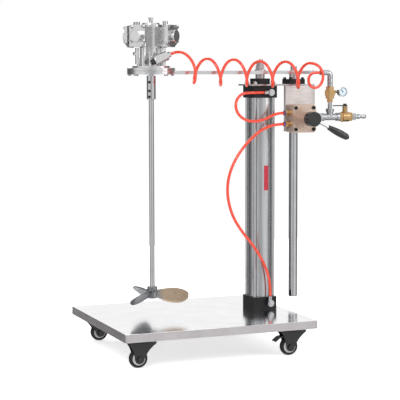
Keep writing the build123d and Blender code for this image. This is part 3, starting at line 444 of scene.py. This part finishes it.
dial_face = material("pale_dial", "#BFD0DC", "#CFDDE6", 0.0, 0.3, 0.4, 3)
give(zinc, "gauge_case")
give(black_plastic, "gauge_pointer")
dial_radius = 11.4 * mm
mark_count = 11
mark_outer = 10.6 * mm
mark_long = 8.2 * mm
mark_short = 9.2 * mm
mark_half = 0.3 * mm
low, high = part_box("gauge_case")
dial_x = high[0] - 13.5 * mm
dial_z = (low[2] + high[2]) / 2
dial_y = low[1] + 1.9 * mm
bm = bmesh.new()
turned = Matrix.Translation((dial_x, dial_y, dial_z)) @ Matrix.Rotation(pi / 2, 4, "X")
bmesh.ops.create_circle(bm, cap_ends=True, segments=48, radius=dial_radius, matrix=turned)
mesh_object("gauge_dial", mesh_from(bm, "dial"), dial_face, "frame")
bm = bmesh.new()
for k in range(mark_count):
    turn = radians(225 - 27 * k)
    out = Vector((cos(turn), 0, sin(turn)))
    across = Vector((-sin(turn), 0, cos(turn))) * mark_half
    centre = Vector((dial_x, dial_y - 0.08 * mm, dial_z))
    near = centre + out * (mark_long if k % 5 == 0 else mark_short)
    far = centre + out * mark_outer
    bm.faces.new([bm.verts.new(corner) for corner in (near - across, far - across, far + across, near + across)])
mesh_object("gauge_marks", mesh_from(bm, "dial_marks"), black_plastic, "frame")

# Air motor: a radial motor of polished aluminium castings, bolted to a round plate at the arm's end.
# Its screws and plugs are zinc-plated, and the throttle's knob is moulded plastic.

# Polished casting: a light, even grey with soft reflections
cast_aluminium = material("polished_cast_aluminium", "#D2D2D3", "#DEDEDF", 1.0, 0.2, 0.27, 14)
give(cast_aluminium, "motor_plate", "motor_pedestal", "motor_crankcase", "motor_heads", "motor_throttle")
give(zinc, "motor_fasteners", "motor_plugs")
give(black_plastic, "throttle_knob")
break_edges("motor_plate")

# Shaft and propeller: the motor's shaft, a coupling with three black set screws, and the mixing shaft.
# The propeller is a ground casting, and the blade on the right has a warm oxide tint.

give(chrome, "motor_shaft", "mixing_shaft")
coupling_finish = material("chromed_coupling_and_black_screws", "#C4C5C8", "#CDCED0", 1.0, 0.04, 0.09, 30)
screw_levels = (604, 620, 644)
screw_mask = None
for level in screw_levels:
    one_screw = beyond(coupling_finish, (-115, 13.7, level), (1, 1, 1), 4.4, 4.0)
    if screw_mask:
        both = add_node(coupling_finish.node_tree, "ShaderNodeMath", {"operation": "MAXIMUM"})
        coupling_finish.node_tree.links.new(screw_mask, both.inputs[0])
        coupling_finish.node_tree.links.new(one_screw, both.inputs[1])
        one_screw = both.outputs["Value"]
    screw_mask = one_screw
second_finish(coupling_finish, screw_mask, "#0C0C0D", "#161618", 0.0)
give(coupling_finish, "shaft_coupling")
# Ground casting: grey steel, warmer where the mask takes in the right blade
blade_cast = material("ground_cast_blades", "#77797D", "#8C8D90", 0.9, 0.26, 0.38, 6)
right_blade = beyond(blade_cast, (321, 22, 54), (1, 1, 0), 415, 400)
second_finish(blade_cast, right_blade, "#9C8A76", "#B09C86", 0.75)
give(blade_cast, "propeller")

# Coil hose: one red hose from the motor's throttle, in turns along the arm, to the riser's elbow.
# It stretches as the arm rises, but here it is built as one fixed tube in world space, on no body.

coil_radius = 35.5
coil_pitch = 78
coil_y = -69
first_peak = 22
turn_count = 4
start_turn = -0.40
steps = 16
axis_left = (-18, 674)
axis_right = (345, 661)
slope = (axis_right[1] - axis_left[1]) / (axis_right[0] - axis_left[0])
coil_points = [
    (-71, -29, 719.5),
    (-62, -30, 723),
    (-52, -38, 726),
    (-42, -56, 724),
    (-34, -78, 712),
    (-29, -97, 694),
    (-26, -104, 673),
    (-24, -96, 650),
    (-20, -76, 640),
]
for i in range(int((turn_count - start_turn) * steps) + 1):
    turn = start_turn + i / steps
    x = first_peak + turn * coil_pitch
    angle = pi / 2 + 2 * pi * turn
    reach = coil_radius * (1 + 0.03 * sin(2.3 * turn))
    axis_z = axis_left[1] + slope * (x - axis_left[0])
    coil_points.append((x, coil_y + reach * cos(angle), axis_z + reach * sin(angle)))
coil_points += [
    (344, -88, 692),
    (354, -98, 678),
    (358, -102, 656),
    (350, -100, 634),
    (336, -92, 625),
    (324, -80, 634),
    (328, -66, 654),
    (343, -55, 667),
    (358, -53, 669),
    (371.9, -53, 669),
]
give(hose_red, "coil_hose", "coil_hose_motor_end", "coil_hose_valve_end")
coil_path = route_points(coil_points, 6)
coil = mesh_object("coil_hose_turns", tube_mesh("coil_hose_turns", coil_path, hose_diameter / 2), hose_red)
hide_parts("coil_hose", "coil_hose_motor_end", "coil_hose_valve_end")
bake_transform(coil)

# Studio: a pale floor that reads white to the camera and keeps the object's soft shadow.
# The surround is white to the camera, and its dark and bright bands give the bright metal its lines.

bm = bmesh.new()
floor_place = Matrix.Translation((0, 0, box_before[0][2]))
bmesh.ops.create_grid(bm, x_segments=1, y_segments=1, size=2.2, matrix=floor_place)
floor_paint = bpy.data.materials.new("pale_floor")
floor_paint.use_nodes = True
shader = floor_paint.node_tree.nodes["Principled BSDF"]
shader.inputs["Base Color"].default_value = srgb("#F4F4F4")
shader.inputs["Roughness"].default_value = 0.9
shader.inputs["Specular IOR Level"].default_value = 0.0
shader.inputs["Emission Color"].default_value = (1, 1, 1, 1)
shader.inputs["Emission Strength"].default_value = 0.55
floor = mesh_object("floor", mesh_from(bm, "floor"), floor_paint)
floor.visible_glossy = False

world = bpy.data.worlds.new("studio")
bpy.context.scene.world = world
world.use_nodes = True
tree = world.node_tree
path = add_node(tree, "ShaderNodeLightPath")
coord = add_node(tree, "ShaderNodeTexCoord")
level_way = add_node(tree, "ShaderNodeVectorMath", {"operation": "MULTIPLY"})
level_way.inputs[1].default_value = (1, 1, 0)
tree.links.new(coord.outputs["Generated"], level_way.inputs[0])
unit = add_node(tree, "ShaderNodeVectorMath", {"operation": "NORMALIZE"})
tree.links.new(level_way.outputs["Vector"], unit.inputs[0])
along_view = add_node(tree, "ShaderNodeVectorMath", {"operation": "DOT_PRODUCT"})
along_view.inputs[1].default_value = (0.3725, 0.928, 0)
tree.links.new(unit.outputs["Vector"], along_view.inputs[0])
share = add_node(
    tree, "ShaderNodeMapRange", values={"From Min": -1.0, "From Max": 1.0}, links={"Value": along_view.outputs["Value"]}
)
bands = add_node(tree, "ShaderNodeValToRGB", links={"Fac": share.outputs["Result"]})
stops = ((0.0, 0.5), (0.05, 0.8), (0.14, 0.95), (0.36, 0.9), (0.52, 0.22), (0.86, 0.1), (0.95, 0.4), (0.985, 1.0))
for position, value in stops[1:-1]:
    bands.color_ramp.elements.new(position)
for element, (position, value) in zip(bands.color_ramp.elements, stops):
    element.position = position
    element.color = (value, value, value, 1)
split = add_node(tree, "ShaderNodeSeparateXYZ", links={"Vector": coord.outputs["Generated"]})
high_up = add_node(
    tree, "ShaderNodeMapRange", values={"From Min": 0.3, "From Max": 0.75}, links={"Value": split.outputs["Z"]}
)
sky = add_node(
    tree, "ShaderNodeMix", {"data_type": "RGBA"}, {"B": (0.9, 0.9, 0.9, 1)},
    {"Factor": high_up.outputs["Result"], "A": bands.outputs["Color"]},
)
seen = add_node(
    tree, "ShaderNodeMix", {"data_type": "RGBA"}, {"B": (1, 1, 1, 1)},
    {"Factor": path.outputs["Is Camera Ray"], "A": sky.outputs["Result"]},
)
background = tree.nodes["Background"]
background.inputs["Strength"].default_value = 1.0
tree.links.new(seen.outputs["Result"], background.inputs["Color"])

# Lamps: three soft rectangles, in front on the left, in front on the right, and above the back.
# They are wide and not strong, as in a product studio.

lamps = (
    ("key", (-2.2, -2.6, 2.4), (0.1, 0, 0.35), 1.6, 1.6, 60),
    ("fill", (2.6, -2.2, 1.6), (0.1, 0, 0.35), 1.2, 1.8, 28),
    ("rim", (0.4, 2.4, 2.2), (0.1, 0, 0.4), 2.0, 0.8, 30),
)
for name, place, target, width, height, power in lamps:
    light = bpy.data.lights.new(name, "AREA")
    light.shape = "RECTANGLE"
    light.size = width
    light.size_y = height
    light.energy = power
    holder = bpy.data.objects.new(name, light)
    bpy.context.scene.collection.objects.link(holder)
    holder.location = place
    holder.rotation_euler = (Vector(target) - Vector(place)).to_track_quat("-Z", "Y").to_euler()

# Camera: at the photo's place, solved from the deck's corners and upright edges.
# The focal length is in pixels of the 400 pixel photo.

focal_px = 1388.0
image_px = 400.0
yaw = radians(21.87)
pitch = radians(5.28)
roll = radians(-0.12)
camera_place = (-1.4054, -3.5701, 0.6722)
forward = Vector((sin(yaw) * cos(pitch), cos(yaw) * cos(pitch), -sin(pitch)))
right = Vector((cos(yaw), -sin(yaw), 0))
up = right.cross(forward)
right_rolled = right * cos(roll) + up * sin(roll)
up_rolled = up * cos(roll) - right * sin(roll)
camera_data = bpy.data.cameras.new("camera")
camera_data.sensor_width = 36.0
camera_data.lens = focal_px / image_px * camera_data.sensor_width
camera_data.clip_end = 50
camera = bpy.data.objects.new("camera", camera_data)
bpy.context.scene.collection.objects.link(camera)
rotation = Matrix((right_rolled, up_rolled, -forward)).transposed().to_4x4()
camera.matrix_world = Matrix.Translation(camera_place) @ rotation
bpy.context.scene.camera = camera
bpy.context.scene.view_settings.view_transform = "Standard"
